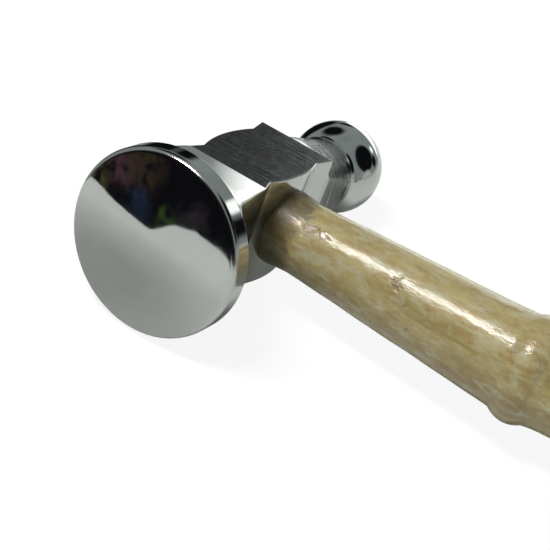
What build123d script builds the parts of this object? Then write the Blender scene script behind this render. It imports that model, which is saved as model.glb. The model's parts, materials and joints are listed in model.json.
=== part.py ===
"""Jeweller's ball peen (chasing) hammer lying on its side, in millimetres.

The hammer is drawn in its own axes first: the head's axis is Y, with the striking face at
Y = 0 and the ball at +Y, the handle's axis is X, and the ground cheeks face +Z and -Z.
One rigid placement at the end lays it on the floor, resting on the disc, the ball and the grip.
"""
from build123d import *
from math import asin, cos, degrees, radians, sin
import os

# --- striking disc -------------------------------------------------------------------------
FACE_RADIUS = 14.0          # outer radius of the disc
CROWN_RADIUS = 51.0         # sphere of the crowned face
EDGE_RADIUS = 1.1           # rounding between the face and the rim
RIM_REAR = 5.6              # end of the straight rim
RIM_CHAMFER = 0.35          # bevel on the rear edge

# --- body between the disc and the ball ----------------------------------------------------
BODY_RADIUS = 12.0          # turned radius of the eye section, before the flats are ground
TRUMPET_MIDDLE_Y = 11.0
TRUMPET_MIDDLE_RADIUS = 12.55
TRUMPET_END = 17.0          # where the turned trumpet behind the disc runs out
CHEEK_HEIGHT = 9.2          # distance of a ground cheek from the head's axis
CHEEK_NEAR = 17.2           # front edge of a cheek, where its ramp to the disc starts
RAMP_FOOT_Y = 8.4           # where that ramp curves up to the disc
RAMP_FOOT_HEIGHT = 10.55
COLLAR_Y = 38.4             # rear edge of a cheek, at the collar
DISC_BACK = 6.0             # where the cheek ramps and the flat sides start behind the disc
FLANK_FOOT_Y = 8.6          # where a side curves out to the disc
FLANK_FOOT_HALF = 8.5
FLANK_EDGE_Y = 16.9         # blunt edge of a side beside the cheek's front corner
FLANK_EDGE_HALF = 7.1
WAIST_Y = 19.8              # narrowest place in front of the eye
WAIST_HALF = 6.2
EYE_HALF = 7.3              # half width of the body at the middle of the eye
GROOVE_Y = 34.2             # narrowest place before the collar
GROOVE_HALF = 6.2
COLLAR_HALF = 7.0
SIDE_FLAT_END = 50.0        # where the flat sides run out on the taper

# --- taper and ball ------------------------------------------------------------------------
TAPER_ROOT = 9.2            # radius of the taper where it leaves the collar
TAPER_MIDDLE_Y = 45.6
TAPER_MIDDLE_RADIUS = 7.45
NECK_RADIUS = 6.1           # thinnest place of the neck before the ball
NECK_FILLET = 1.5           # hollow between the taper and the ball
TAPER_SLOPE = 11.0          # degrees that the taper still closes in at the neck
BALL_RADIUS = 8.15
BALL_Y = 58.3               # centre of the ball

# --- eye and wedges ------------------------------------------------------------------------
HANDLE_Y = 27.7             # the handle's axis crosses the head here
EYE_LENGTH = 11.6           # oval eye, along the head
EYE_WIDTH = 10.0            # oval eye, across the cheeks
TENON_END = -7.7            # the tenon stands a little proud of the head's top
WOOD_WEDGE_TOP = 2.4        # thickness at the tenon's end
WOOD_WEDGE_TIP = 0.8
WOOD_WEDGE_DEPTH = 10.6
STEEL_WEDGE_TOP = 1.7
STEEL_WEDGE_TIP = 0.5
STEEL_WEDGE_DEPTH = 7.0
STEEL_WEDGE_WIDTH = 7.2

# --- turned handle: radii along its axis ---------------------------------------------------
SHOULDER_X = 7.6            # the shoulder's rounded edge
SHOULDER_RADIUS = 6.2
SHOULDER_MIDDLE_X = 8.8
SHOULDER_MIDDLE_RADIUS = 6.08
SHANK_X = 11.5              # slimmest place beside the head
SHANK_RADIUS = 5.85
SHANK_MIDDLE = 30.0
SHANK_MIDDLE_RADIUS = 6.72
SHANK_END = 48.4
SHANK_END_RADIUS = 7.7
BEAD_X = 51.1
BEAD_RADIUS = 8.5
BEAD_END = 53.7
BEAD_END_RADIUS = 7.58
BEAD_END_SLOPE = -0.27      # how steeply the cove behind the bead starts
COVE_END = 59.5
COVE_END_RADIUS = 6.9
COVE_END_SLOPE = -0.04
SLIM_X = 104.0              # slimmest place of the springy neck
SLIM_RADIUS = 5.3
GRIP_X = 186.0              # thickest place of the grip
GRIP_RADIUS = 13.0
BUTT_X = 222.0              # where the grip turns into its rounded end
BUTT_RADIUS = 9.4
BUTT_SLOPE = -0.45
HANDLE_END = 228.0

REACH = 40.0                # longer than any cut has to be


def on_circle(centre, radius, angle):
    """The point of a circle at an angle in degrees, counted from the first axis."""
    turn = radians(angle)
    return centre[0] + radius * cos(turn), centre[1] + radius * sin(turn)


def arc(centre, radius, start, end):
    """The arc of a circle between two angles in degrees."""
    points = [on_circle(centre, radius, angle) for angle in (start, (start + end) / 2, end)]
    return ThreePointArc(*points)


def eased(start, start_slope, end, end_slope):
    """A smooth line between two points that leaves and arrives with given slopes."""
    return Spline(start, end, tangents=[(1, start_slope), (1, end_slope)])


def turned_head():
    """The head as it leaves the lathe: crowned disc, trumpet, body, taper and ball."""
    crown_centre = (0, CROWN_RADIUS)
    edge_angle = degrees(asin((FACE_RADIUS - EDGE_RADIUS) / (CROWN_RADIUS - EDGE_RADIUS))) - 90
    edge_centre = on_circle(crown_centre, CROWN_RADIUS - EDGE_RADIUS, edge_angle)
    ball_centre = (0, BALL_Y)
    neck_angle = degrees(asin((NECK_RADIUS + NECK_FILLET) / (BALL_RADIUS + NECK_FILLET))) - 90
    fillet_centre = on_circle(ball_centre, BALL_RADIUS + NECK_FILLET, neck_angle)
    outline = [
        arc(crown_centre, CROWN_RADIUS, -90, edge_angle),
        arc(edge_centre, EDGE_RADIUS, edge_angle, 0),
        Polyline(
            (FACE_RADIUS, edge_centre[1]),
            (FACE_RADIUS, RIM_REAR - RIM_CHAMFER),
            (FACE_RADIUS - RIM_CHAMFER, RIM_REAR),
        ),
        ThreePointArc(
            (FACE_RADIUS - RIM_CHAMFER, RIM_REAR),
            (TRUMPET_MIDDLE_RADIUS, TRUMPET_MIDDLE_Y),
            (BODY_RADIUS, TRUMPET_END),
        ),
        Polyline((BODY_RADIUS, TRUMPET_END), (BODY_RADIUS, COLLAR_Y), (TAPER_ROOT, COLLAR_Y)),
        ThreePointArc(
            (TAPER_ROOT, COLLAR_Y),
            (TAPER_MIDDLE_RADIUS, TAPER_MIDDLE_Y),
            on_circle(fillet_centre, NECK_FILLET, 180 + TAPER_SLOPE),
        ),
        arc(fillet_centre, NECK_FILLET, 180 + TAPER_SLOPE, 180 + neck_angle),
        arc(ball_centre, BALL_RADIUS, neck_angle, 90),
        Line((0, BALL_Y + BALL_RADIUS), (0, 0)),
    ]
    return revolve(make_face(outline), axis=Axis.Y)


def cheek_cut():
    """What is ground off above a cheek: the flat, and a hollow ramp up to the disc."""
    ramp_top = (DISC_BACK, FACE_RADIUS)
    foot = (RAMP_FOOT_Y, RAMP_FOOT_HEIGHT)
    up_the_ramp = (RAMP_FOOT_Y - CHEEK_NEAR, RAMP_FOOT_HEIGHT - CHEEK_HEIGHT)
    outline = [
        TangentArc(foot, ramp_top, tangent=up_the_ramp),
        Line(foot, (CHEEK_NEAR, CHEEK_HEIGHT)),
        Polyline(
            (CHEEK_NEAR, CHEEK_HEIGHT),
            (COLLAR_Y, CHEEK_HEIGHT),
            (COLLAR_Y, REACH),
            (ramp_top[0], REACH),
            ramp_top,
        ),
    ]
    return extrude(Plane.YZ * make_face(outline), amount=REACH, both=True)


def side_outline():
    """The curved line of the head's top and bottom, from the disc to the taper."""
    foot = (FLANK_FOOT_HALF, FLANK_FOOT_Y)
    edge = (FLANK_EDGE_HALF, FLANK_EDGE_Y)
    toward_disc = (FLANK_FOOT_HALF - FLANK_EDGE_HALF, FLANK_FOOT_Y - FLANK_EDGE_Y)
    return [
        TangentArc(foot, (FACE_RADIUS, DISC_BACK), tangent=toward_disc),
        Polyline(foot, edge, (WAIST_HALF, WAIST_Y)),
        ThreePointArc((WAIST_HALF, WAIST_Y), (EYE_HALF, HANDLE_Y), (GROOVE_HALF, GROOVE_Y)),
        Polyline((GROOVE_HALF, GROOVE_Y), (COLLAR_HALF, COLLAR_Y), (WAIST_HALF, SIDE_FLAT_END)),
    ]


def side_cut():
    """What is milled off beside that line, as deep as the cheeks are wide."""
    outline = side_outline() + [
        Polyline(
            (WAIST_HALF, SIDE_FLAT_END),
            (REACH, SIDE_FLAT_END),
            (REACH, DISC_BACK),
            (FACE_RADIUS, DISC_BACK),
        )
    ]
    return extrude(make_face(outline), amount=REACH, both=True)


def body_block():
    """The head's eye section without its hole, wide enough to trim the handle's shoulder."""
    curve = side_outline()[2]
    outline = [
        curve,
        Polyline((GROOVE_HALF, GROOVE_Y), (0, GROOVE_Y), (0, WAIST_Y), (WAIST_HALF, WAIST_Y)),
    ]
    return extrude(make_face(outline), amount=CHEEK_HEIGHT, both=True)


def eye(start, end):
    """The oval of the eye, from one place on the handle's axis to another."""
    oval = Plane.YZ.offset(start) * Pos(HANDLE_Y, 0) * Ellipse(EYE_LENGTH / 2, EYE_WIDTH / 2)
    return extrude(oval, amount=end - start)


def make_head():
    """The forged steel head with its cheeks, sides and eye."""
    head = turned_head()
    cheek = cheek_cut()
    side = side_cut()
    head -= cheek
    head -= mirror(cheek, about=Plane.XY)
    head -= side
    head -= mirror(side, about=Plane.YZ)
    return head - eye(-REACH / 2, REACH / 2)


def make_wood_wedge():
    """The wooden wedge, along the eye's length, driven from the tenon's end."""
    tip_x = TENON_END + WOOD_WEDGE_DEPTH
    section = Polyline(
        (TENON_END, WOOD_WEDGE_TOP / 2),
        (TENON_END, -WOOD_WEDGE_TOP / 2),
        (tip_x, -WOOD_WEDGE_TIP / 2),
        (tip_x, WOOD_WEDGE_TIP / 2),
        close=True,
    )
    blank = extrude(Plane.XZ.offset(-HANDLE_Y) * make_face(section), amount=REACH, both=True)
    return blank & eye(TENON_END, tip_x)


def make_steel_wedge():
    """The steel wedge, across the wooden one."""
    tip_x = TENON_END + STEEL_WEDGE_DEPTH
    section = Polyline(
        (TENON_END, HANDLE_Y + STEEL_WEDGE_TOP / 2),
        (TENON_END, HANDLE_Y - STEEL_WEDGE_TOP / 2),
        (tip_x, HANDLE_Y - STEEL_WEDGE_TIP / 2),
        (tip_x, HANDLE_Y + STEEL_WEDGE_TIP / 2),
        close=True,
    )
    return extrude(make_face(section), amount=STEEL_WEDGE_WIDTH / 2, both=True)


def turned_handle():
    """The handle as it leaves the lathe, from inside the head's side to its rounded end."""
    butt_height = HANDLE_END - BUTT_X
    butt_sphere = (BUTT_RADIUS**2 + butt_height**2) / (2 * butt_height)
    butt_angle = degrees(asin(BUTT_RADIUS / butt_sphere))
    outline = [
        Polyline((0, 0), (0, SHOULDER_RADIUS), (SHOULDER_X, SHOULDER_RADIUS)),
        ThreePointArc(
            (SHOULDER_X, SHOULDER_RADIUS),
            (SHOULDER_MIDDLE_X, SHOULDER_MIDDLE_RADIUS),
            (SHANK_X, SHANK_RADIUS),
        ),
        ThreePointArc(
            (SHANK_X, SHANK_RADIUS),
            (SHANK_MIDDLE, SHANK_MIDDLE_RADIUS),
            (SHANK_END, SHANK_END_RADIUS),
        ),
        ThreePointArc(
            (SHANK_END, SHANK_END_RADIUS),
            (BEAD_X, BEAD_RADIUS),
            (BEAD_END, BEAD_END_RADIUS),
        ),
        eased((BEAD_END, BEAD_END_RADIUS), BEAD_END_SLOPE, (COVE_END, COVE_END_RADIUS), COVE_END_SLOPE),
        eased((COVE_END, COVE_END_RADIUS), COVE_END_SLOPE, (SLIM_X, SLIM_RADIUS), 0),
        eased((SLIM_X, SLIM_RADIUS), 0, (GRIP_X, GRIP_RADIUS), 0),
        eased((GRIP_X, GRIP_RADIUS), 0, (BUTT_X, BUTT_RADIUS), BUTT_SLOPE),
        arc((HANDLE_END - butt_sphere, 0), butt_sphere, butt_angle, 0),
        Line((HANDLE_END, 0), (0, 0)),
    ]
    return Pos(0, HANDLE_Y, 0) * revolve(make_face(outline), axis=Axis.X)


def make_handle(wedges):
    """The wooden handle: its shoulder scribed to the head, its tenon filling the eye."""
    handle = turned_handle() - body_block()
    handle += eye(TENON_END, SHOULDER_X)
    for wedge in wedges:
        handle -= wedge
    return handle


def resting_place():
    """The placement that lays the drawn hammer on the floor."""
    tilt = 0.0
    for _ in range(20):
        tilt = asin((FACE_RADIUS * cos(tilt) - BALL_RADIUS) / (BALL_Y - RIM_REAR))
    level_radius = BALL_RADIUS + (BALL_Y - HANDLE_Y) * sin(tilt)
    lift = asin((GRIP_RADIUS - level_radius) / (GRIP_X * cos(tilt)))
    return Rot(-degrees(tilt), 0, 0) * Rot(0, -degrees(lift), 0)


steel_wedge = make_steel_wedge()
wood_wedge = make_wood_wedge() - steel_wedge
parts = {
    "head": make_head(),
    "handle": make_handle([wood_wedge, steel_wedge]),
    "wood_wedge": wood_wedge,
    "steel_wedge": steel_wedge,
}
placed = {name: resting_place() * shape for name, shape in parts.items()}
whole = Compound(list(placed.values())).bounding_box()
origin = Pos(-(whole.min.X + whole.max.X) / 2, -(whole.min.Y + whole.max.Y) / 2, -whole.min.Z)

os.makedirs("parts", exist_ok=True)
for name, shape in placed.items():
    export_step(origin * shape, f"parts/{name}.step")
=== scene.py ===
"""Looks of a jeweller's ball peen hammer: polished head, ground cheeks, varnished wooden handle."""
import json
import math

import bmesh
import bpy
import numpy as np
from mathutils import Matrix, Vector


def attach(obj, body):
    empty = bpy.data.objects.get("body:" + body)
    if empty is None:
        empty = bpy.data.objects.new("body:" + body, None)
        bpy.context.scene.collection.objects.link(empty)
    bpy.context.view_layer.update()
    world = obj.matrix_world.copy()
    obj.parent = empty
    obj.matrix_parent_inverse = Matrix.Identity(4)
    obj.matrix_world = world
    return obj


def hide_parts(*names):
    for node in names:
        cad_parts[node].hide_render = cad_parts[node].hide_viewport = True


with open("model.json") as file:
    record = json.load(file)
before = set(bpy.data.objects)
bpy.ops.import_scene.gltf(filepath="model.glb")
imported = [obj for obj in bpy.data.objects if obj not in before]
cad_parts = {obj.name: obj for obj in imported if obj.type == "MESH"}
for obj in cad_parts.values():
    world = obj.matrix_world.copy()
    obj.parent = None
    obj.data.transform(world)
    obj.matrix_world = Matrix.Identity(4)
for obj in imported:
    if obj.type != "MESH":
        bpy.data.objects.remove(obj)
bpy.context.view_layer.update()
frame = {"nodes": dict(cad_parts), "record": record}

# --- the hammer's own axes -------------------------------------------------------------------
# In millimetres, from the middle of the face: X along the handle, Y from face to ball, Z out of
# the upper cheek. The record's mounts say where they lie in the frame.
MILLIMETRE = 0.001
CHEEK_HEIGHT = 9.2
CHEEK_NEAR = 17.2
COLLAR_Y = 38.4

mounts = {mount["name"]: mount for mount in frame["record"]["mounts"]}
axis_z = Vector(mounts["upper_cheek"]["axis"])
axis_x = Vector(mounts["grip"]["axis"])
axis_y = axis_z.cross(axis_x)
cheek_middle = Vector(mounts["upper_cheek"]["pos_m"])
from_face = (axis_y * (CHEEK_NEAR + COLLAR_Y) / 2 + axis_z * CHEEK_HEIGHT) * MILLIMETRE
turn_to_frame = Matrix((axis_x, axis_y, axis_z)).transposed().to_4x4()
hammer_axes = Matrix.Translation(cheek_middle - from_face) @ turn_to_frame @ Matrix.Scale(MILLIMETRE, 4)

# --- head ------------------------------------------------------------------------------------
# A point of an outline is a distance from the head's axis and a place along that axis.
FACE_RADIUS = 14.0
CROWN_RADIUS = 51.0
EDGE_RADIUS = 1.1
RIM_REAR = 5.6
RIM_CHAMFER = 0.35
DISC_BACK = 6.0
TRUMPET = ((FACE_RADIUS - RIM_CHAMFER, RIM_REAR), (12.55, 11.0), (12.0, 17.0))
BODY_RADIUS = 12.0
RAMP_FOOT = (10.55, 8.4)
FLANK_FOOT = (8.5, 8.6)
FLANK_EDGE = (7.1, 16.9)
SIDE = ((6.2, 19.8), (7.3, 27.7), (6.2, 34.2))
COLLAR_HALF = 7.0
SIDE_FLAT_END = (6.2, 50.0)
TAPER_ROOT = 9.2
TAPER_MIDDLE = (7.45, 45.6)
NECK_RADIUS = 6.1
NECK_FILLET = 1.5
TAPER_SLOPE = 11.0
BALL_RADIUS = 8.15
BALL_Y = 58.3
HANDLE_Y = 27.7
EDGE_CRISPNESS = 90.0       # power of the rounded corner between two ground surfaces
FREE = 1e6                  # half width where nothing is ground off
COLLAR_ROUND = 0.15
GROUND_DEPTH = 0.02         # how far below a cheek's plane the ground finish still reaches

# --- the head's rings of points --------------------------------------------------------------
AROUND = 40                 # points from the middle of one surface to its corner
CORNER_CROWDING = 1.6       # above 1, those points crowd towards the corner
CROWN_RINGS = 24
EDGE_RINGS = 16
RIM_RINGS = 5
CRISP_STEP = 0.03           # between a turned corner and the rings that keep it crisp
RING_STEP = 0.45            # along the body
WALL_LEAD = 0.07            # how far before the disc's back the crowded rings start
WALL_REACH = 3.0            # and how far they go
WALL_RINGS = 30
RIM_GAP = 0.02              # between the rim and the first ring behind it
EDGE_STEPS = (0.03, 0.09, 0.18)             # from an edge across the body to the rings beside it
TINY = 1e-6                 # keeps a place in front of the collar's rear face, and a division safe
COLLAR_RINGS = 5
COLLAR_SHARES = (0.1, 0.5, 0.9, 0.97, 1.0)  # of the way from the collar's edge in to the taper
TAPER_RINGS = 40
FILLET_RINGS = 12
BALL_RINGS = 60


def on_circle(centre, radius, degrees):
    """The point of a circle at an angle in degrees."""
    turn = math.radians(degrees)
    return centre[0] + radius * math.cos(turn), centre[1] + radius * math.sin(turn)


def circle_through(a, b, c):
    """Centre and radius of the circle through three points."""
    ax, ay, bx, by, cx, cy = *a, *b, *c
    d = 2 * (ax * (by - cy) + bx * (cy - ay) + cx * (ay - by))
    a2, b2, c2 = ax * ax + ay * ay, bx * bx + by * by, cx * cx + cy * cy
    x = (a2 * (by - cy) + b2 * (cy - ay) + c2 * (ay - by)) / d
    y = (a2 * (cx - bx) + b2 * (ax - cx) + c2 * (bx - ax)) / d
    return (x, y), math.hypot(ax - x, ay - y)


def arc_points(centre, radius, start, end, count):
    """Points of an arc between two angles in degrees, its last point left out."""
    return [on_circle(centre, radius, start + (end - start) * i / count) for i in range(count)]


def three_point_arc(points, count):
    """Points of the arc through three points, its last point left out."""
    centre, radius = circle_through(*points)
    angles = [math.degrees(math.atan2(y - centre[1], x - centre[0])) for x, y in points]
    while angles[2] - angles[0] > 180:
        angles[2] -= 360
    while angles[2] - angles[0] < -180:
        angles[2] += 360
    return arc_points(centre, radius, angles[0], angles[2], count)


def line_points(start, end, count):
    """Points of a straight line, its last point left out."""
    shares = [i / count for i in range(count)]
    return [tuple(a + (b - a) * share for a, b in zip(start, end)) for share in shares]


def across_arc(points, y):
    """Half width of a three point arc at a place along the head."""
    centre, radius = circle_through(*points)
    side = math.copysign(1, points[1][0] - centre[0])
    return centre[0] + side * math.sqrt(max(radius**2 - (y - centre[1]) ** 2, 0))


def hollow(foot, beyond, top):
    """Centre and radius of the arc that carries the line beyond-foot smoothly up to a top."""
    along = (np.array(foot) - beyond) / math.dist(foot, beyond)
    across = np.array((-along[1], along[0]))
    rise = np.array(top) - foot
    radius = rise @ rise / (2 * rise @ across)
    return np.array(foot) + radius * across, abs(radius)


def behind_disc(y, foot, beyond):
    """Half size of a cut that rises in a hollow to the back of the disc."""
    if y >= foot[1]:
        return np.interp(y, (foot[1], beyond[1]), (foot[0], beyond[0]))
    centre, radius = hollow(foot, beyond, (FACE_RADIUS, DISC_BACK))
    if y < centre[1] - radius:
        return FREE
    return centre[0] - math.sqrt(radius**2 - (y - centre[1]) ** 2)


def side_half(y):
    """Half width between the head's top and bottom at a place along it."""
    if y > SIDE_FLAT_END[1]:
        return FREE
    if y < FLANK_EDGE[1]:
        return behind_disc(y, FLANK_FOOT, FLANK_EDGE)
    if y < SIDE[0][1]:
        return np.interp(y, (FLANK_EDGE[1], SIDE[0][1]), (FLANK_EDGE[0], SIDE[0][0]))
    if y < SIDE[2][1]:
        return across_arc(SIDE, y)
    if y < COLLAR_Y:
        return np.interp(y, (SIDE[2][1], COLLAR_Y), (SIDE[2][0], COLLAR_HALF))
    return np.interp(y, (COLLAR_Y, SIDE_FLAT_END[1]), (COLLAR_HALF, SIDE_FLAT_END[0]))


def cheek_height(y):
    """Half thickness between the cheeks, with their ramps, at a place along the head."""
    if y > COLLAR_Y:
        return FREE
    if y >= CHEEK_NEAR:
        return CHEEK_HEIGHT
    return behind_disc(y, RAMP_FOOT, (CHEEK_HEIGHT, CHEEK_NEAR))


def corner_angles(corner):
    """Angles around the head, crowded at the four corners between sides and cheeks."""
    share = np.arange(AROUND) / AROUND
    up = corner * (1 - (1 - share) ** CORNER_CROWDING)
    down = math.pi / 2 - (math.pi / 2 - corner) * (1 - share**CORNER_CROWDING)
    quarter = np.concatenate((up, down))
    mirrored = math.pi - np.concatenate((quarter[1:], [math.pi / 2]))[::-1]
    half = np.concatenate((quarter, mirrored))
    return np.concatenate((half, half + math.pi))


def ring_at(y, radius):
    """The points of one ring around the head: a turned radius, cut by its sides and cheeks."""
    side = side_half(y)
    cheek = cheek_height(y)
    angles = corner_angles(math.atan2(min(cheek, radius), min(side, radius)))
    total = radius**-EDGE_CRISPNESS
    total = total + (np.abs(np.cos(angles)) / side) ** EDGE_CRISPNESS
    total = total + (np.abs(np.sin(angles)) / cheek) ** EDGE_CRISPNESS
    distance = total ** (-1 / EDGE_CRISPNESS)
    return np.stack((distance * np.cos(angles), np.full_like(angles, y), distance * np.sin(angles)), 1)


def turned_radius(y):
    """Radius of the body and its trumpet before the flats are ground."""
    if y >= TRUMPET[2][1]:
        return BODY_RADIUS
    return across_arc(TRUMPET, y)


def body_places():
    """Places along the body, crowded where its surfaces meet."""
    places = list(np.arange(RIM_REAR, COLLAR_Y - COLLAR_ROUND, RING_STEP))
    places += list(DISC_BACK - WALL_LEAD + WALL_REACH * np.linspace(0, 1, WALL_RINGS) ** 2)
    for edge in (CHEEK_NEAR, FLANK_EDGE[1], SIDE[0][1], SIDE[2][1]):
        places += [edge + side * step for step in EDGE_STEPS for side in (-1, 1)]
        places.append(edge)
    return sorted({round(place, 3) for place in places if place > RIM_REAR + RIM_GAP})


def collar_rings():
    """The rounded edge and the flat rear face of the collar."""
    taper = ring_at(COLLAR_Y, TAPER_ROOT)
    body = ring_at(COLLAR_Y - TINY, BODY_RADIUS)
    step = np.linalg.norm((body - taper)[:, (0, 2)], axis=1, keepdims=True)
    rings = []
    for turn in np.linspace(0, math.pi / 2, COLLAR_RINGS):
        inset = np.minimum(COLLAR_ROUND, step) * (1 - math.cos(turn))
        ring = body + (taper - body) * inset / np.maximum(step, TINY)
        ring[:, 1] = COLLAR_Y - COLLAR_ROUND * (1 - math.sin(turn))
        rings.append(ring)
    edge = rings[-1]
    rings += [edge + (taper - edge) * share for share in COLLAR_SHARES]
    return rings


def disc_outline():
    """The turned line of the disc: its crowned face, its rounded edge and its rim."""
    crown = (0, CROWN_RADIUS)
    inner = CROWN_RADIUS - EDGE_RADIUS
    edge_angle = math.degrees(math.asin((FACE_RADIUS - EDGE_RADIUS) / inner)) - 90
    edge = on_circle(crown, inner, edge_angle)
    rear = (FACE_RADIUS, RIM_REAR - RIM_CHAMFER)
    chamfer = (FACE_RADIUS - RIM_CHAMFER, RIM_REAR)
    outline = arc_points(crown, CROWN_RADIUS, -90, edge_angle, CROWN_RINGS)[1:]
    outline += arc_points(edge, EDGE_RADIUS, edge_angle, 0, EDGE_RINGS)
    outline += line_points((FACE_RADIUS, edge[1]), rear, RIM_RINGS)
    outline += [(rear[0], rear[1] - CRISP_STEP), rear, (rear[0] - CRISP_STEP, rear[1] + CRISP_STEP)]
    outline += [(chamfer[0] + CRISP_STEP, chamfer[1] - CRISP_STEP), chamfer]
    return outline


def ball_outline():
    """The turned line of the taper, its neck and the ball."""
    reach = BALL_RADIUS + NECK_FILLET
    neck_angle = math.degrees(math.asin((NECK_RADIUS + NECK_FILLET) / reach)) - 90
    neck = on_circle((0, BALL_Y), reach, neck_angle)
    taper_end = on_circle(neck, NECK_FILLET, 180 + TAPER_SLOPE)
    outline = three_point_arc(((TAPER_ROOT, COLLAR_Y), TAPER_MIDDLE, taper_end), TAPER_RINGS)[1:]
    outline += arc_points(neck, NECK_FILLET, 180 + TAPER_SLOPE, 180 + neck_angle, FILLET_RINGS)
    outline += arc_points((0, BALL_Y), BALL_RADIUS, neck_angle, 90, BALL_RINGS)
    return outline


def head_rings():
    """Rings of the whole head, with the middle of the face and the tip of the ball."""
    rings = [ring_at(y, radius) for radius, y in disc_outline()]
    rings += [ring_at(y, turned_radius(y)) for y in body_places()]
    rings += collar_rings()
    rings += [ring_at(y, radius) for radius, y in ball_outline()]
    return rings, (0, 0, 0), (0, BALL_Y + BALL_RADIUS, 0)


def closed_mesh(name, rings, first, last):
    """A closed object from rings of points, in the hammer's axes, and a point at each end."""
    count = len(rings[0])
    points = np.concatenate((*rings, [first], [last]))
    start = len(points) - 2
    turn = np.arange(count)
    after = (turn + 1) % count
    faces = []
    for level in range(len(rings) - 1):
        low, high = level * count, (level + 1) * count
        faces += np.stack((turn + low, after + low, after + high, turn + high), 1).tolist()
    top = (len(rings) - 1) * count
    faces += [[start, int(b), int(a)] for a, b in zip(turn, after)]
    faces += [[start + 1, int(a) + top, int(b) + top] for a, b in zip(turn, after)]
    mesh = bpy.data.meshes.new(name)
    mesh.from_pydata([hammer_axes @ Vector(point) for point in points], [], faces)
    shape = bmesh.new()
    shape.from_mesh(mesh)
    bmesh.ops.recalc_face_normals(shape, faces=shape.faces)
    shape.to_mesh(mesh)
    shape.free()
    mesh.shade_smooth()
    piece = bpy.data.objects.new(name, mesh)
    bpy.context.collection.objects.link(piece)
    return piece


def make_head():
    """The head as one mesh: polished steel, with the two cheeks in ground steel."""
    head = closed_mesh("hammer_head", *head_rings())
    head.data.materials.append(polished_steel())
    head.data.materials.append(ground_steel())
    to_hammer = hammer_axes.inverted()
    for face in head.data.polygons:
        middle = to_hammer @ face.center
        between = CHEEK_NEAR < middle.y < COLLAR_Y - COLLAR_ROUND
        if between and abs(middle.z) > CHEEK_HEIGHT - GROUND_DEPTH:
            face.material_index = 1
    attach(head, "root")
    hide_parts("head")


# --- handle ----------------------------------------------------------------------------------
# A point of an outline is a place along the handle and its radius there; a third number is the
# slope of the outline at that point.
TENON_END = -7.6
TENON_HALF = (5.78, 4.98)
TENON_ROUND = 0.25
SHOULDER = (7.6, 6.2)
SHOULDER_MIDDLE = (8.8, 6.08)
SHANK = ((11.5, 5.85), (30.0, 6.72), (48.4, 7.7))
BEAD = ((48.4, 7.7), (51.1, 8.5), (53.7, 7.58))
COVE = ((53.7, 7.58, -0.27), (59.5, 6.9, -0.04))
SLIM = (104.0, 5.3, 0.0)
GRIP = (186.0, 13.0, 0.0)
BUTT = (222.0, 9.4, -0.38)
HANDLE_END = 228.0
WAVES = (                   # height, radians per millimetre along, waves around, start angle
    (0.030, 0.21, 2, 0.0),
    (0.022, 0.47, -3, 1.3),
    (0.016, 0.93, 5, 2.1),
)
EVEN_LENGTH = 6.0           # after the shoulder, over which the waves grow
EVEN_RADIUS = 4.0           # below this radius the waves fade towards the tip

# --- the handle's rings of points ------------------------------------------------------------
HANDLE_AROUND = 160
TENON_ROUND_RINGS = 6
TENON_MIDDLE = 0.5          # share of the tenon's size where its flat end gets a ring
TENON_STRETCH = (-6.0, 5.0)     # the part of the tenon, hidden in the eye, with even rings
TENON_RINGS = 12
SHOULDER_TUCKS = ((0.4, 0.8), (0.05, 0.12))     # depth in the head, and how much thinner
SHOULDER_SHARES = (0.04, 0.15, 0.4, 0.7)        # of the way from the head to the plain round
SHOULDER_RINGS = 16
SHANK_RINGS = 60
BEAD_RINGS = 24
COVE_RINGS = 20
SLIM_RINGS = 40
GRIP_RINGS = 60
BUTT_RINGS = 36
TIP_RINGS = 20


def eased(start, end, count):
    """Points of a smooth line between two places with given slopes, its last point left out."""
    length = end[0] - start[0]
    points = []
    for i in range(count):
        t = i / count
        keep, give = 1 + t * t * (2 * t - 3), t * t * (3 - 2 * t)
        lead, trail = t * (1 - t) ** 2 * length, t * t * (t - 1) * length
        height = keep * start[1] + give * end[1] + lead * start[2] + trail * end[2]
        points.append((start[0] + t * length, height))
    return points


def handle_outline():
    """The turned line of the handle, from its shoulder to the tip of its butt."""
    butt_height = HANDLE_END - BUTT[0]
    butt_radius = (BUTT[1] ** 2 + butt_height**2) / (2 * butt_height)
    butt_angle = math.degrees(math.asin(BUTT[1] / butt_radius))
    outline = three_point_arc((SHOULDER, SHOULDER_MIDDLE, SHANK[0]), SHOULDER_RINGS)
    outline += three_point_arc(SHANK, SHANK_RINGS)
    outline += three_point_arc(BEAD, BEAD_RINGS)
    outline += eased(COVE[0], COVE[1], COVE_RINGS)
    outline += eased(COVE[1], SLIM, SLIM_RINGS)
    outline += eased(SLIM, GRIP, GRIP_RINGS)
    outline += eased(GRIP, BUTT, BUTT_RINGS)
    outline += arc_points((HANDLE_END - butt_radius, 0), butt_radius, butt_angle, 0, TIP_RINGS)
    return outline


def handle_angles():
    """Angles of the points around the handle."""
    return np.arange(HANDLE_AROUND) * math.tau / HANDLE_AROUND


def handle_ring(x, across, height):
    """One ring around the handle, oval where its half sizes differ; each may vary around it."""
    angles = handle_angles()
    middle = np.zeros(HANDLE_AROUND)
    return np.stack((middle + x, HANDLE_Y + across * np.cos(angles), height * np.sin(angles)), 1)


def unevenness(x):
    """The lathe's and the sandpaper's slight departure from a true round, in millimetres."""
    angles = handle_angles()
    waves = [height * np.sin(x * along + around * angles + start) for height, along, around, start in WAVES]
    return sum(waves)


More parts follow.
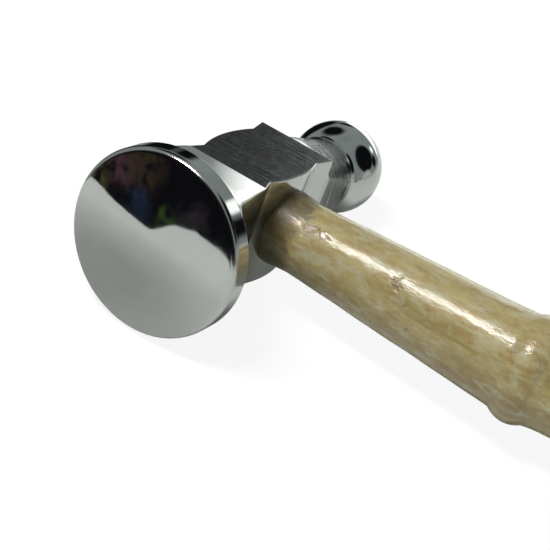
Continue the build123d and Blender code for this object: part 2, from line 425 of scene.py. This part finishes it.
def tenon_rings():
    """The oval tenon in the eye, from the middle of its flat end to the handle's side."""
    rings = [handle_ring(TENON_END, TENON_HALF[0] * TENON_MIDDLE, TENON_HALF[1] * TENON_MIDDLE)]
    for turn in np.linspace(0, math.pi / 2, TENON_ROUND_RINGS):
        inset = TENON_ROUND * (1 - math.sin(turn))
        x = TENON_END + TENON_ROUND * (1 - math.cos(turn))
        rings.append(handle_ring(x, TENON_HALF[0] - inset, TENON_HALF[1] - inset))
    rings += [handle_ring(x, *TENON_HALF) for x in np.linspace(*TENON_STRETCH, TENON_RINGS)]
    return rings


def shoulder_rings():
    """The shoulder, scribed to the hollow side of the head, up to where it is a plain round."""
    radius = SHOULDER[1]
    side = np.array([side_half(HANDLE_Y + radius * math.cos(angle)) for angle in handle_angles()])
    rings = []
    for depth, thinner in SHOULDER_TUCKS:
        rings.append(handle_ring(side - depth, radius - thinner, radius - thinner))
    for share in SHOULDER_SHARES:
        rings.append(handle_ring(side + (SHOULDER[0] - side) * share, radius, radius))
    return rings


def handle_rings():
    """Rings of the whole handle, with the middle of the tenon's end and the tip of the butt."""
    rings = tenon_rings() + shoulder_rings()
    for x, radius in handle_outline():
        growth = min(1.0, max(0.0, (x - SHOULDER[0]) / EVEN_LENGTH))
        uneven = radius + unevenness(x) * growth * min(1, radius / EVEN_RADIUS)
        rings.append(handle_ring(x, uneven, uneven))
    return rings, (TENON_END, HANDLE_Y, 0), (HANDLE_END, HANDLE_Y, 0)


def make_handle():
    """The handle as one mesh of varnished wood."""
    handle = closed_mesh("hammer_handle", *handle_rings())
    handle.data.materials.append(varnished_wood())
    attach(handle, "root")
    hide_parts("handle")


# --- materials -------------------------------------------------------------------------------
class Nodes:
    """A node tree, with short ways to add and join its nodes."""

    def __init__(self, tree):
        self.tree = tree

    def add(self, kind, inputs=None, **settings):
        """A new node, with values or links for its inputs by name."""
        node = self.tree.nodes.new(kind)
        for name, value in settings.items():
            setattr(node, name, value)
        for name, value in (inputs or {}).items():
            self.put(node.inputs[name], value)
        return node

    def put(self, socket, value):
        """Link an output to a socket, or set the socket to a constant."""
        if isinstance(value, bpy.types.NodeSocket):
            self.tree.links.new(value, socket)
        else:
            socket.default_value = value

    def noise(self, place, scale, detail=4.0, roughness=0.55, distortion=0.0):
        """Fractal noise, from 0 to 1."""
        inputs = {"Vector": place, "Scale": scale, "Detail": detail}
        inputs.update({"Roughness": roughness, "Distortion": distortion})
        return self.add("ShaderNodeTexNoise", inputs).outputs["Fac"]

    def ramp(self, value, *stops):
        """A colour from a value, by stops of a position and a colour."""
        node = self.add("ShaderNodeValToRGB", {"Fac": value})
        elements = node.color_ramp.elements
        while len(elements) < len(stops):
            elements.new(0.5)
        for element, (position, colour) in zip(elements, stops):
            element.position = position
            element.color = (*colour, 1)
        return node.outputs["Color"]

    def grey(self, value, *stops):
        """A ramp of plain values."""
        return self.ramp(value, *((position, (level,) * 3) for position, level in stops))

    def map(self, value, low, high, to_low, to_high):
        """A value taken from one range to another, and held at the ends."""
        inputs = {"Value": value, "From Min": low, "From Max": high}
        inputs.update({"To Min": to_low, "To Max": to_high})
        return self.add("ShaderNodeMapRange", inputs).outputs["Result"]

    def spread(self, noise, to_low, to_high):
        """A noise's usual range, taken to another."""
        return self.map(noise, NOISE_LOW, NOISE_HIGH, to_low, to_high)

    def band(self, value, start, full, fading, end):
        """1 in the middle of a stretch, falling to 0 at both its ends."""
        rise = self.map(value, start, full, 0.0, 1.0)
        return self.maths("MULTIPLY", rise, self.map(value, fading, end, 1.0, 0.0))

    def maths(self, operation, a, b=0.0):
        """One value from one or two others, by a named operation."""
        node = self.add("ShaderNodeMath", operation=operation)
        self.put(node.inputs[0], a)
        self.put(node.inputs[1], b)
        return node.outputs["Value"]

    def vector_maths(self, operation, a, b):
        """One value from two vectors, by a named operation."""
        node = self.add("ShaderNodeVectorMath", operation=operation)
        self.put(node.inputs[0], a)
        self.put(node.inputs[1], b)
        return node.outputs["Value"]

    def mix(self, amount, a, b, blend="MIX"):
        """Two colours mixed; each is an output or three numbers."""
        node = self.add("ShaderNodeMix", data_type="RGBA", blend_type=blend)
        self.put(node.inputs[0], amount)
        self.put(node.inputs[6], (*a, 1) if isinstance(a, tuple) else a)
        self.put(node.inputs[7], (*b, 1) if isinstance(b, tuple) else b)
        return node.outputs[2]

    def bump(self, height, distance, strength=1.0, normal=None):
        """A normal bent by a height, over the surface's own or another normal."""
        inputs = {"Height": height, "Distance": distance, "Strength": strength}
        if normal:
            inputs["Normal"] = normal
        return self.add("ShaderNodeBump", inputs).outputs["Normal"]


class Finish(Nodes):
    """A new material on a Principled shader, with its places in the hammer's axes."""

    def __init__(self, name):
        self.material = bpy.data.materials.new(name)
        self.material.use_nodes = True
        super().__init__(self.material.node_tree)
        self.shader = self.tree.nodes["Principled BSDF"]
        self.place = self.hammer_place()

    def hammer_place(self):
        """Places in the hammer's own axes, in millimetres."""
        shift, turn, scale = hammer_axes.inverted().decompose()
        source = self.add("ShaderNodeTexCoord").outputs["Object"]
        inputs = {"Vector": source, "Location": shift, "Rotation": turn.to_euler(), "Scale": scale}
        return self.add("ShaderNodeMapping", inputs).outputs["Vector"]

    def stretched(self, x, y, z):
        """Places scaled along each axis, so that a texture runs long where the scale is small."""
        return self.add("ShaderNodeMapping", {"Vector": self.place, "Scale": (x, y, z)}).outputs["Vector"]

    def axes(self):
        """Places along each of the hammer's axes, named X, Y and Z."""
        return self.add("ShaderNodeSeparateXYZ", {"Vector": self.place}).outputs

    def end(self, **sockets):
        """Join or set the shader's sockets, and give the material."""
        for name, value in sockets.items():
            self.put(self.shader.inputs[name.replace("_", " ")], value)
        return self.material


# Places and sizes are in the hammer's millimetres, and bump distances in metres.
NOISE_LOW, NOISE_HIGH = 0.3, 0.7                # where most of a noise's values lie
# Stretches along the head: where a finish or a painted shade starts, is full, fades and ends.
FLANK_SHADE_STRETCH = (6.9, 9.6, 19.5, 24.0)
TURNED_TAPER = (38.8, 40.4, 50.0, 53.2)
BUFFED_EDGE = (1.66, 2.06, 2.7, 3.02)
FLANK_SIDE = (5.8, 6.6)                         # a flank lies further out than this
FLANK_TOP = (8.2, 9.0)                          # and nearer the head's middle plane than this
BUFFED_ROUGHNESS = 0.11
# Colour of the painted shade in the hollows of the flanks.
FLANK_SHADE_COLOUR = (0.20, 0.21, 0.23)
# Along the handle: the painted shadow of the head on the wood beside it, and where the gloss starts.
HEAD_SHADOW_REACH = (8.5, 12.5)
GLOSS_START = (9.5, 12.0)
GLOSS = (0.12, 0.75)                            # on the wood under the head's painted shadow, and on the rest
GLOSS_ROUGHNESS = 0.14
# Painted shade on the handle's underside, by height along Z.
UNDERSIDE_SHADE_HEIGHT = (-7.0, 1.0)                     # full at the first, gone at the second
UNDERSIDE_SHADE_COLOUR = (0.52, 0.47, 0.42)
# Each nick in the varnish has its middle, in the hammer's axes, and its size.
VARNISH_NICKS = (((13.4, 23.2, 4.0), 1.3), ((15.6, 23.3, 4.4), 0.9), ((29.2, 22.1, 3.7), 1.2))
NICK_BROWN = (0.26, 0.15, 0.055)
BLOTCH_BROWN = (0.42, 0.255, 0.09)
PALE_PATCH = (0.59, 0.57, 0.40)
DARK_FLECK = (0.19, 0.13, 0.06)


def painted_flank_shade(nodes, smudge):
    """How much painted shade darkens the hollow of each flank, between the disc and the handle."""
    axes = nodes.axes()
    side = nodes.map(nodes.maths("ABSOLUTE", axes["X"]), *FLANK_SIDE, 0.0, 1.0)
    below = nodes.map(nodes.maths("ABSOLUTE", axes["Z"]), *FLANK_TOP, 1.0, 0.0)
    flank = nodes.maths("MULTIPLY", side, below)
    beside = nodes.maths("MULTIPLY", flank, nodes.band(axes["Y"], *FLANK_SHADE_STRETCH))
    return nodes.maths("MULTIPLY", beside, nodes.spread(smudge, 0.5, 1.0))


def turned_streaks_and_reflections(nodes, turned):
    """Colour of the taper, where the lathe's marks run around it as dark and bright bands that are partly
    painted reflection.
    """
    return nodes.ramp(
        turned,
        (0.38, (0.035, 0.037, 0.035)),
        (0.52, (0.10, 0.105, 0.10)),
        (0.62, (0.21, 0.22, 0.21)),
        (0.69, (0.80, 0.82, 0.80)),
    )


def polished_steel():
    """Mirror polish with faint smudges, hairline scratches, turned marks on the taper whose bands are
    partly painted reflection, and painted shade in the flanks' hollows.
    """
    nodes = Finish("mirror_polished_steel")
    along = nodes.axes()["Y"]
    smudge = nodes.noise(nodes.place, 0.16, 5, 0.6, 0.4)
    colour = nodes.ramp(smudge, (0.3, (0.56, 0.575, 0.565)), (0.7, (0.62, 0.635, 0.62)))
    # Painted shade: the hollow of each flank turns dark grey.
    colour = nodes.mix(painted_flank_shade(nodes, smudge), colour, FLANK_SHADE_COLOUR)
    taper = nodes.band(along, *TURNED_TAPER)
    turned = nodes.noise(nodes.stretched(0.10, 1.9, 0.10), 1.0, 5, 0.65, 0.25)
    # The turned marks are real; their near-black and bright bands are partly painted reflection.
    colour = nodes.mix(taper, colour, turned_streaks_and_reflections(nodes, turned))
    hairs = nodes.noise(nodes.stretched(0.15, 5.0, 2.2), 1.3, 3, 0.7, 0.6)
    hair = nodes.grey(hairs, (0.62, 0.0), (0.72, 1.0))
    rough = nodes.map(smudge, 0.3, 0.75, 0.035, 0.085)
    rough = nodes.maths("ADD", rough, nodes.maths("MULTIPLY", hair, 0.05))
    buffed = nodes.maths("MULTIPLY", nodes.band(along, *BUFFED_EDGE), BUFFED_ROUGHNESS)
    rough = nodes.maths("ADD", rough, buffed)
    normal = nodes.bump(nodes.maths("MULTIPLY", turned, taper), 0.00014)
    normal = nodes.bump(nodes.noise(nodes.place, 0.35, 2, 0.5), 0.00002, 0.3, normal)
    normal = nodes.bump(hairs, 0.000003, 0.3, normal)
    return nodes.end(Metallic=1.0, Base_Color=colour, Roughness=rough, Normal=normal)


def ground_steel():
    """A cheek finished on a belt: fine scratches along the handle, mottled and a little dark."""
    nodes = Finish("ground_steel_cheek")
    fine = nodes.noise(nodes.stretched(0.10, 7.0, 1.0), 1.0, 5, 0.7, 0.15)
    broad = nodes.noise(nodes.stretched(0.16, 0.9, 1.0), 0.9, 4, 0.65, 0.5)
    colour = nodes.ramp(
        broad,
        (0.28, (0.25, 0.30, 0.25)),
        (0.44, (0.40, 0.42, 0.39)),
        (0.56, (0.37, 0.34, 0.37)),
        (0.72, (0.52, 0.53, 0.50)),
    )
    streak = nodes.grey(fine, (0.32, 0.5), (0.68, 0.88))
    colour = nodes.mix(1.0, colour, streak, "MULTIPLY")
    rough = nodes.spread(fine, 0.14, 0.22)
    normal = nodes.bump(fine, 0.00003, 0.6)
    return nodes.end(Metallic=1.0, Base_Color=colour, Roughness=rough, Normal=normal)


def mottled_grain(nodes, grain, blotch, pale, fleck):
    """The bare wood's colour: olive grain, brown blotches, pale patches and dark flecks."""
    colour = nodes.ramp(
        grain,
        (0.30, (0.36, 0.28, 0.105)),
        (0.48, (0.49, 0.40, 0.175)),
        (0.62, (0.56, 0.46, 0.215)),
        (0.78, (0.61, 0.53, 0.28)),
    )
    colour = nodes.mix(nodes.grey(blotch, (0.47, 0.0), (0.66, 0.62)), colour, BLOTCH_BROWN)
    colour = nodes.mix(nodes.grey(pale, (0.48, 0.0), (0.66, 0.7)), colour, PALE_PATCH)
    return nodes.mix(nodes.grey(fleck, (0.60, 0.0), (0.72, 0.45)), colour, DARK_FLECK)


def varnish_nick(nodes, fleck, middle, size):
    """How deep a ragged nick in the varnish is, from 0 to 1."""
    away = nodes.vector_maths("DISTANCE", nodes.place, middle)
    ragged = nodes.maths("ADD", away, nodes.spread(fleck, -0.8, 0.8))
    return nodes.map(ragged, size, size * 0.4, 0.0, 1.0)


def varnished_wood():
    """Pale olive hardwood with soft brown mottling and a glossy, slightly uneven varnish, darkened by a
    painted shadow beside the head and painted shade on its underside.
    """
    nodes = Finish("varnished_hardwood")
    axes = nodes.axes()
    grain = nodes.noise(nodes.stretched(0.06, 0.55, 0.55), 1.0, 4, 0.55, 0.6)
    blotch = nodes.noise(nodes.stretched(0.42, 0.7, 0.7), 1.0, 4, 0.65, 0.6)
    pale = nodes.noise(nodes.stretched(0.3, 0.65, 0.65), 1.1, 4, 0.6, 0.4)
    fleck = nodes.noise(nodes.stretched(0.6, 1.3, 1.3), 1.0, 3, 0.6, 0.2)
    waves = nodes.noise(nodes.stretched(0.5, 1.0, 1.0), 1.0, 4, 0.6)
    colour = mottled_grain(nodes, grain, blotch, pale, fleck)
    # Painted shade: the wood gets darker towards its underside.
    height = nodes.maths("ADD", axes["Z"], nodes.spread(pale, -1.5, 1.5))
    underside_shade = nodes.ramp(nodes.map(height, *UNDERSIDE_SHADE_HEIGHT, 0.0, 1.0), (0.0, UNDERSIDE_SHADE_COLOUR), (1.0, (1, 1, 1)))
    colour = nodes.mix(1.0, colour, underside_shade, "MULTIPLY")
    edge = nodes.maths("ADD", axes["X"], nodes.spread(blotch, -1.2, 1.2))
    # Painted shadow: the head's shadow darkens the wood beside it.
    head_shadow = nodes.grey(nodes.map(edge, *HEAD_SHADOW_REACH, 0.0, 1.0), (0.0, 0.25), (0.6, 0.42), (1.0, 1.0))
    colour = nodes.mix(1.0, colour, head_shadow, "MULTIPLY")
    normal = nodes.bump(waves, 0.00013, 0.7)
    for middle, size in VARNISH_NICKS:
        nick = varnish_nick(nodes, fleck, middle, size)
        colour = nodes.mix(nodes.maths("MULTIPLY", nick, 0.8), colour, NICK_BROWN)
        normal = nodes.bump(nodes.maths("SUBTRACT", 1.0, nick), 0.00015, 0.6, normal)
    rough = nodes.spread(grain, 0.34, 0.5)
    gloss = nodes.map(edge, *GLOSS_START, *GLOSS)
    coat = {"Coat_Weight": gloss, "Coat_Roughness": GLOSS_ROUGHNESS, "Coat_Normal": normal}
    return nodes.end(Base_Color=colour, Roughness=rough, Normal=normal, **coat)


def wedge_wood():
    """End of a plain sawn hardwood wedge."""
    nodes = Finish("sawn_wedge_wood")
    grain = nodes.noise(nodes.stretched(0.1, 1.6, 3.0), 1.0, 5, 0.65, 0.4)
    colour = nodes.ramp(
        grain,
        (0.3, (0.24, 0.16, 0.08)),
        (0.55, (0.42, 0.31, 0.17)),
        (0.8, (0.52, 0.40, 0.25)),
    )
    rough = nodes.spread(grain, 0.5, 0.75)
    normal = nodes.bump(grain, 0.0001, 0.6)
    return nodes.end(Base_Color=colour, Roughness=rough, Normal=normal)


def wedge_steel():
    """Hammered end of a small steel wedge."""
    nodes = Finish("struck_wedge_steel")
    dents = nodes.noise(nodes.place, 1.4, 4, 0.6, 0.5)
    colour = nodes.ramp(dents, (0.3, (0.22, 0.215, 0.205)), (0.7, (0.42, 0.41, 0.39)))
    rough = nodes.spread(dents, 0.28, 0.5)
    normal = nodes.bump(dents, 0.00012, 0.6)
    return nodes.end(Metallic=1.0, Base_Color=colour, Roughness=rough, Normal=normal)


# --- stage -----------------------------------------------------------------------------------
# A direction is an azimuth, from -Y towards +X, and an elevation, in degrees.
CAMERA_PLACE = (-0.0314, -0.16245, 0.1140)
CAMERA_BACK = (23.135, 33.046)                  # the direction that its back points in
CAMERA_ROLL = 18.211
CAMERA_LENS = 84.2
CAMERA_SENSOR = 36.0
CAMERA_NEAREST = 0.005
# Each lamp has its direction, its size in metres and its power.
KEY_LAMP = ((-42.0, 60.0), (0.34, 0.15), 5.6)
FILL_LAMP = ((18.0, 34.0), (0.7, 0.5), 1.15)
BACK_LAMP = ((170.0, 38.0), (0.7, 0.5), 1.3)
LAMP_DISTANCE = 1.0
LAMP_COLOUR = (1.0, 0.98, 0.94)
LAMP_TARGET = 0.045                             # along the handle, from the middle of the cheek
ROOM_COLOUR = (0.27, 0.30, 0.29)
DARK_COLOUR = (0.006, 0.006, 0.008)
WINDOW_COLOUR = (1.6, 1.64, 1.6)
WALL_COLOUR = (0.50, 0.53, 0.52)
# Round patches of the room, each with its azimuth, elevation, size and softness in degrees.
DARK_PATCHES = (
    (5, -5, 72, 8),
    (120, 35, 26, 2.5),
    (145, 11, 8, 2),
    (-126, 46, 17, 4),
    (-130, 2, 20, 3),
    (-155, 15, 7, 2),
)
WINDOW = (-176, -3, 20.0, 1.0)
OPENING = (158, 21, 4.5, 1.5)
WALL = (112, -2, 14, 3)
ROOM_THINGS = (
    ((-54, -11, 5, 3), (0.09, 0.085, 0.03)),
    ((-44, -5, 5, 3), (0.09, 0.045, 0.055)),
    ((-36, 1, 7, 4), (0.045, 0.032, 0.022)),
    ((-33, -11, 5, 2), (0.02, 0.035, 0.075)),
    ((-22, -9, 3, 2), (0.06, 0.11, 0.02)),
    ((-12, -4, 5, 3), (0.03, 0.025, 0.03)),
)
FLOOR_FAR = 3.0
# The table ends near the hammer, on the side that the face mirrors; places in metres.
TABLE_NEAR_EDGE = (
    (-0.190, FLOOR_FAR),
    (-0.125, 0.120),
    (-0.150, 0.010),
    (-0.185, -0.060),
    (-0.172, -0.078),
    (-0.135, -0.091),
    (-0.141, -0.150),
    (-0.128, -0.190),
    (-0.096, -0.158),
    (-0.078, -0.105),
    (-0.030, -0.250),
    (FLOOR_FAR, -0.6),
)
# The table in the hammer's axes, in millimetres: its bright far part and its shaded place.
BRIGHT_PAST_BALL = (90.0, 150.0)
BRIGHT_BEFORE_GRIP = (20.0, 60.0)
BRIGHT_GLOW = 0.25
SHADED_PLACE = (-14.0, -6.0, -14.0)
SHADED_REACH = (8.0, 40.0)
SHADE = 0.55
CLOUD_SCALE = 0.01


def direction(azimuth, elevation):
    """Unit vector of a direction."""
    turn, rise = math.radians(azimuth), math.radians(elevation)
    return Vector((math.sin(turn) * math.cos(rise), -math.cos(turn) * math.cos(rise), math.sin(rise)))


def pale_floor():
    """The floor as the camera sees it: nearly white, with a faint shadow."""
    nodes = Finish("pale_floor")
    cloud = nodes.noise(nodes.place, CLOUD_SCALE, 3, 0.5)
    colour = nodes.grey(cloud, (0.3, 0.17), (0.7, 0.18))
    glow = nodes.grey(cloud, (0.3, 0.87), (0.7, 0.88))
    rough = nodes.spread(cloud, 0.8, 0.9)
    return nodes.end(Base_Color=colour, Roughness=rough, Emission_Color=glow, Emission_Strength=1.0)


def table_paper():
    """The same floor as the steel mirrors it and as it lights the wood: grey, white far away."""
    nodes = Finish("table_paper")
    axes = nodes.axes()
    cloud = nodes.noise(nodes.place, CLOUD_SCALE, 3, 0.5)
    colour = nodes.ramp(cloud, (0.3, (0.85, 0.88, 0.87)), (0.7, (0.89, 0.92, 0.91)))
    away = nodes.vector_maths("DISTANCE", nodes.place, SHADED_PLACE)
    shade = nodes.map(away, *SHADED_REACH, SHADE, 1.0)
    colour = nodes.mix(1.0, colour, shade, "MULTIPLY")
    past_ball = nodes.map(axes["Y"], *BRIGHT_PAST_BALL, 0.0, BRIGHT_GLOW)
    before_grip = nodes.map(axes["X"], *BRIGHT_BEFORE_GRIP, 1.0, 0.0)
    strength = nodes.maths("MULTIPLY", past_ball, before_grip)
    rough = nodes.spread(cloud, 0.8, 0.9)
    glow = {"Emission_Color": (1, 1, 1, 1), "Emission_Strength": strength}
    return nodes.end(Base_Color=colour, Roughness=rough, **glow)


def sheet(name, corners, material, seen_by_camera):
    """A flat floor that blocks no light, seen either by the camera or by everything else."""
    mesh = bpy.data.meshes.new(name)
    mesh.from_pydata([(x, y, 0) for x, y in corners], [], [list(range(len(corners)))])
    mesh.materials.append(material)
    flat = bpy.data.objects.new(name, mesh)
    bpy.context.collection.objects.link(flat)
    flat.visible_camera = seen_by_camera
    flat.visible_diffuse = not seen_by_camera
    flat.visible_glossy = not seen_by_camera
    flat.visible_shadow = False


def add_floor():
    """The white floor that the camera sees, and the table that the steel and the wood see."""
    far = FLOOR_FAR
    sheet("floor", ((-far, -far), (far, -far), (far, far), (-far, far)), pale_floor(), True)
    sheet("table", (*TABLE_NEAR_EDGE, (far, far)), table_paper(), False)


def add_lamp(name, place, size, power, mirrored):
    """A soft lamp that looks at the start of the handle; the steel may or may not mirror it."""
    target = cheek_middle + axis_x * LAMP_TARGET
    data = bpy.data.lights.new(name, "AREA")
    data.shape = "RECTANGLE"
    data.size, data.size_y = size
    data.energy = power
    data.color = LAMP_COLOUR
    lamp = bpy.data.objects.new(name, data)
    away = direction(*place)
    across = (Vector((1, 0, 0)) - away * away.x).normalized()
    axes = Matrix((across, away.cross(across), away)).transposed().to_4x4()
    lamp.matrix_world = Matrix.Translation(target + away * LAMP_DISTANCE) @ axes
    lamp.visible_glossy = mirrored
    bpy.context.collection.objects.link(lamp)


def room_patch(nodes, view, azimuth, elevation, size, softness):
    """How far a view into the room lies inside a round patch, from 0 to 1."""
    towards = nodes.vector_maths("DOT_PRODUCT", view, direction(azimuth, elevation))
    low = math.cos(math.radians(size + softness))
    high = math.cos(math.radians(max(size - softness, 0)))
    return nodes.map(towards, low, high, 0.0, 1.0)


def add_room():
    """What the steel mirrors around the floor: a grey room, dark in front, bright at the back."""
    world = bpy.data.worlds.new("room")
    world.use_nodes = True
    bpy.context.scene.world = world
    nodes = Nodes(world.node_tree)
    view = nodes.add("ShaderNodeTexCoord").outputs["Generated"]
    cloud = nodes.noise(view, 2.2, 3, 0.5, 0.6)
    shade = nodes.grey(cloud, (0.3, 0.85), (0.7, 1.12))
    colour = nodes.mix(1.0, ROOM_COLOUR, shade, "MULTIPLY")
    for patch in DARK_PATCHES:
        colour = nodes.mix(room_patch(nodes, view, *patch), colour, DARK_COLOUR)
    colour = nodes.mix(room_patch(nodes, view, *WALL), colour, WALL_COLOUR)
    for patch in (WINDOW, OPENING):
        colour = nodes.mix(room_patch(nodes, view, *patch), colour, WINDOW_COLOUR)
    broken = nodes.grey(nodes.noise(view, 9.0, 3, 0.6, 1.2), (0.40, 0.0), (0.60, 1.0))
    for patch, tint in ROOM_THINGS:
        amount = nodes.maths("MULTIPLY", room_patch(nodes, view, *patch), broken)
        colour = nodes.mix(amount, colour, tint)
    nodes.put(world.node_tree.nodes["Background"].inputs["Color"], colour)


def add_camera():
    """The camera looks down at the face from the front right, a little rolled."""
    roll = math.radians(CAMERA_ROLL)
    back = direction(*CAMERA_BACK)
    right = Vector((0, 0, 1)).cross(back).normalized()
    up = back.cross(right)
    rolled_right = math.cos(roll) * right + math.sin(roll) * up
    rolled_up = math.cos(roll) * up - math.sin(roll) * right
    data = bpy.data.cameras.new("camera")
    data.lens = CAMERA_LENS
    data.sensor_width = CAMERA_SENSOR
    data.clip_start = CAMERA_NEAREST
    camera = bpy.data.objects.new("camera", data)
    axes = Matrix((rolled_right, rolled_up, back)).transposed().to_4x4()
    camera.matrix_world = Matrix.Translation(CAMERA_PLACE) @ axes
    bpy.context.collection.objects.link(camera)
    bpy.context.scene.camera = camera


def dress_wedges():
    """Wood and steel on the two wedges, which keep their CAD meshes."""
    for name, material in (("wood_wedge", wedge_wood()), ("steel_wedge", wedge_steel())):
        for slot in frame["nodes"][name].material_slots:
            slot.material = material


def build():
    """The whole scene."""
    make_head()
    make_handle()
    dress_wedges()
    add_floor()
    add_lamp("key", *KEY_LAMP, mirrored=True)
    add_lamp("fill", *FILL_LAMP, mirrored=False)
    add_lamp("back", *BACK_LAMP, mirrored=False)
    add_room()
    add_camera()
    bpy.context.scene.view_settings.view_transform = "Standard"


build()
